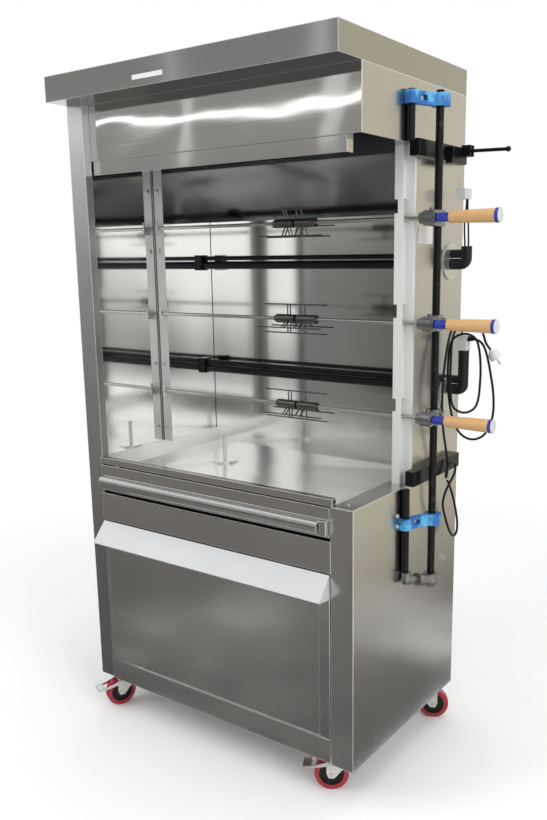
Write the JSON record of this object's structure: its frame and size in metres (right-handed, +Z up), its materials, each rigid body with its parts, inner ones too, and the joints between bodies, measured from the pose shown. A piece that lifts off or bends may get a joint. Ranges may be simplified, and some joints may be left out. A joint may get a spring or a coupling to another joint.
{
  "type": "electric skewer grill",
  "caption": "Tall cabinet grill with an open cooking space, horizontal skewers with side grips, wall heater tubes, drip tray, drawer and casters.",
  "frame": {"origin": "on the floor under the middle of the object's box", "axes": "+Z up, the open front faces -Y, the skewer grips point to +X"},
  "size_m": [1.2432, 0.675, 1.99],
  "materials": {
    "sheet_steel": "fine brushed sheet",
    "polished_steel": "polished sheet",
    "dark_sheet": "heat-toned sheet",
    "black_paint": "satin black",
    "white_paint": "smooth pale",
    "cast_grey": "raw casting",
    "blue_clamp": "blue paint",
    "zinc": "zinc plated",
    "rod_steel": "drawn bar",
    "prong_steel": "darkened steel",
    "heater_black": "oxidised tube",
    "boot_rubber": "matt",
    "cord_rubber": "satin jacket",
    "pale_block": "glazed terminal block",
    "plug_pale": "pale plug",
    "grip_wood": "turned and lacquered",
    "wheel_mix": "red tread on a black core"
  },
  "bodies": {
    "cabinet": {"left_side_panel": "sheet_steel", "right_side_panel": "sheet_steel", "back_panel": "sheet_steel", "base_pan": "sheet_steel", "canopy_cap": "sheet_steel", "hood_front": "sheet_steel", "ceiling_baffle": "dark_sheet", "fascia_beam": "sheet_steel", "cavity_liner": "polished_steel", "slotted_post": "sheet_steel", "tip_support": "sheet_steel", "hearth_basin": "polished_steel", "drain_pipe": "polished_steel", "front_rail": "sheet_steel", "side_ledge": "sheet_steel", "lower_post": "sheet_steel", "middle_fascia": "sheet_steel", "drawer_runners": "zinc", "panel_bolts": "zinc", "blank_plates": "white_paint", "heater_tubes": "heater_black", "heater_mounts": "dark_sheet", "heater_boots": "boot_rubber", "heater_connectors": "pale_block", "heater_leads": "cord_rubber", "supply_cord": "cord_rubber", "supply_plug": "plug_pale", "spare_cord": "cord_rubber", "side_rails": "black_paint", "lock_block": "black_paint", "rack_pipes": "black_paint", "pipe_clamps": "blue_clamp", "pipe_elbows": "cast_grey", "skewer_heads": "cast_grey", "caster_plates": "zinc"},
    "drip_tray": {"tray_pan": "polished_steel", "tray_front": "sheet_steel"},
    "drawer": {"drawer_box": "sheet_steel", "drawer_front": "sheet_steel", "drawer_flap": "white_paint"},
    "skewer_low": {"rod_low": "rod_steel", "prongs_low": "prong_steel", "handle_low": "grip_wood"},
    "skewer_mid": {"rod_mid": "rod_steel", "prongs_mid": "prong_steel", "handle_mid": "grip_wood"},
    "skewer_high": {"rod_high": "rod_steel", "prongs_high": "prong_steel", "handle_high": "grip_wood"},
    "lever": {"lock_lever": "black_paint"},
    "brake_left": {"brake_pedal_left": "zinc"},
    "brake_right": {"brake_pedal_right": "zinc"},
    "swivel_front_left": {"fork_front_left": "zinc"},
    "roller_front_left": {"wheel_front_left": "wheel_mix"},
    "swivel_front_right": {"fork_front_right": "zinc"},
    "roller_front_right": {"wheel_front_right": "wheel_mix"},
    "swivel_back_left": {"fork_back_left": "zinc"},
    "roller_back_left": {"wheel_back_left": "wheel_mix"},
    "swivel_back_right": {"fork_back_right": "zinc"},
    "roller_back_right": {"wheel_back_right": "wheel_mix"}
  },
  "joints": [
    {"name": "drip_tray_slide", "type": "slide", "parent": "cabinet", "child": "drip_tray", "axis": [0, -1, 0], "range_m": [0, 0.42]},
    {"name": "drawer_slide", "type": "slide", "parent": "cabinet", "child": "drawer", "axis": [0, -1, 0], "range_m": [0, 0.45]},
    {"name": "skewer_low_spin", "type": "hinge", "parent": "cabinet", "child": "skewer_low", "pos_m": [0.42335, 0.0255, 1.04], "axis": [1, 0, 0], "continuous": true},
    {"name": "skewer_mid_spin", "type": "hinge", "parent": "cabinet", "child": "skewer_mid", "pos_m": [0.42335, 0.0255, 1.298], "axis": [1, 0, 0], "continuous": true},
    {"name": "skewer_high_spin", "type": "hinge", "parent": "cabinet", "child": "skewer_high", "pos_m": [0.42335, 0.0255, 1.573], "axis": [1, 0, 0], "continuous": true},
    {"name": "lock_lever_turn", "type": "hinge", "parent": "cabinet", "child": "lever", "pos_m": [0.44035, 0.2275, 1.756], "axis": [0, 1, 0], "range_deg": [-20, 70]},
    {"name": "swivel_front_left", "type": "hinge", "parent": "cabinet", "child": "swivel_front_left", "pos_m": [-0.55165, -0.2005, 0.104], "axis": [0, 0, 1], "continuous": true},
    {"name": "roll_front_left", "type": "hinge", "parent": "swivel_front_left", "child": "roller_front_left", "pos_m": [-0.56711, -0.23521, 0.049], "axis": [0.9135, -0.4067, 0], "continuous": true},
    {"name": "brake_left_press", "type": "hinge", "parent": "swivel_front_left", "child": "brake_left", "pos_m": [-0.56955, -0.2407, 0.084], "axis": [0.9135, -0.4067, 0], "range_deg": [0, 12]},
    {"name": "swivel_front_right", "type": "hinge", "parent": "cabinet", "child": "swivel_front_right", "pos_m": [0.30835, -0.2005, 0.104], "axis": [0, 0, 1], "continuous": true},
    {"name": "roll_front_right", "type": "hinge", "parent": "swivel_front_right", "child": "roller_front_right", "pos_m": [0.27578, -0.22007, 0.049], "axis": [0.515, -0.8572, 0], "continuous": true},
    {"name": "brake_right_press", "type": "hinge", "parent": "swivel_front_right", "child": "brake_right", "pos_m": [0.27063, -0.22316, 0.084], "axis": [0.515, -0.8572, 0], "range_deg": [0, 12]},
    {"name": "swivel_back_left", "type": "hinge", "parent": "cabinet", "child": "swivel_back_left", "pos_m": [-0.55165, 0.2655, 0.104], "axis": [0, 0, 1], "continuous": true},
    {"name": "roll_back_left", "type": "hinge", "parent": "swivel_back_left", "child": "roller_back_left", "pos_m": [-0.51874, 0.2845, 0.049], "axis": [-0.5, 0.866, 0], "continuous": true},
    {"name": "swivel_back_right", "type": "hinge", "parent": "cabinet", "child": "swivel_back_right", "pos_m": [0.30835, 0.2655, 0.104], "axis": [0, 0, 1], "continuous": true},
    {"name": "roll_back_right", "type": "hinge", "parent": "swivel_back_right", "child": "roller_back_right", "pos_m": [0.3425, 0.28216, 0.049], "axis": [-0.4384, 0.8988, 0], "continuous": true}
  ]
}
